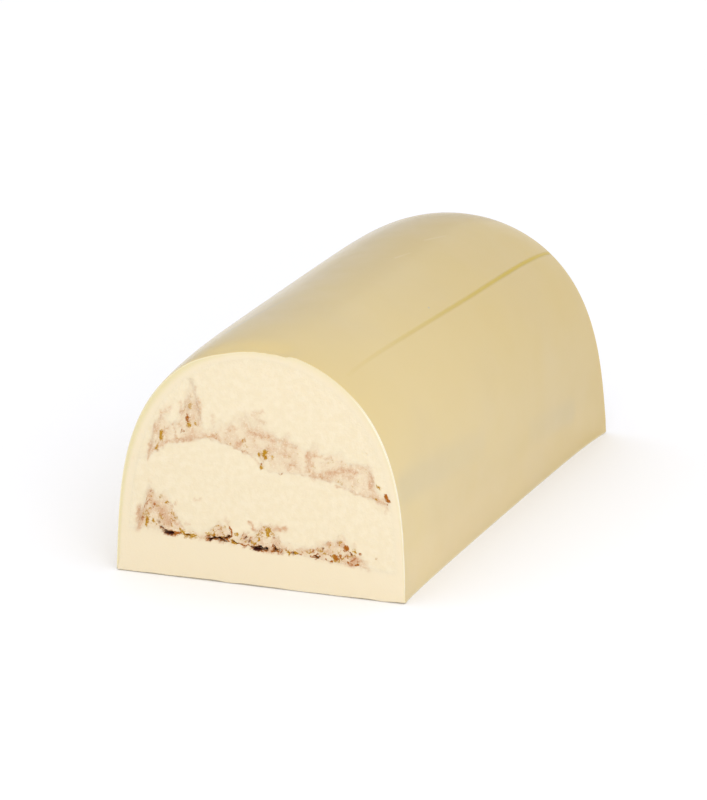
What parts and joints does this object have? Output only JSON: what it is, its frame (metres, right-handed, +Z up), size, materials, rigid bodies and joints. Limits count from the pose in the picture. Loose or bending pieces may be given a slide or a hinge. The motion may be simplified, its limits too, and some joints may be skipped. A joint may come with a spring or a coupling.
{
  "type": "nougat bar",
  "caption": "Hand-cut length of arched white chocolate bar with pale nougat layers and thin praline seams that show at both cuts.",
  "frame": {"origin": "on the surface it rests on, under the middle of the bar", "axes": "+Z up, +Y along the bar towards the far cut, so the near cut that shows the layers faces -Y; +X across the bar to the right of someone who faces the near cut"},
  "size_m": [0.0332, 0.0641, 0.0278],
  "materials": {
    "white_chocolate": "moulded white chocolate, cream yellow, with a soft satin sheen; paler and matt where the knife cut it",
    "nougat": "soft cut nougat, pale ivory, finely grained and matt",
    "praline": "crushed praline smeared into the nougat, pinkish tan with golden brown flakes, matt"
  },
  "bodies": {
    "root": {"chocolate_shell": "white_chocolate", "upper_nougat": "nougat", "lower_nougat": "nougat", "upper_praline_seam": "praline", "lower_praline_seam": "praline"}
  },
  "joints": []
}
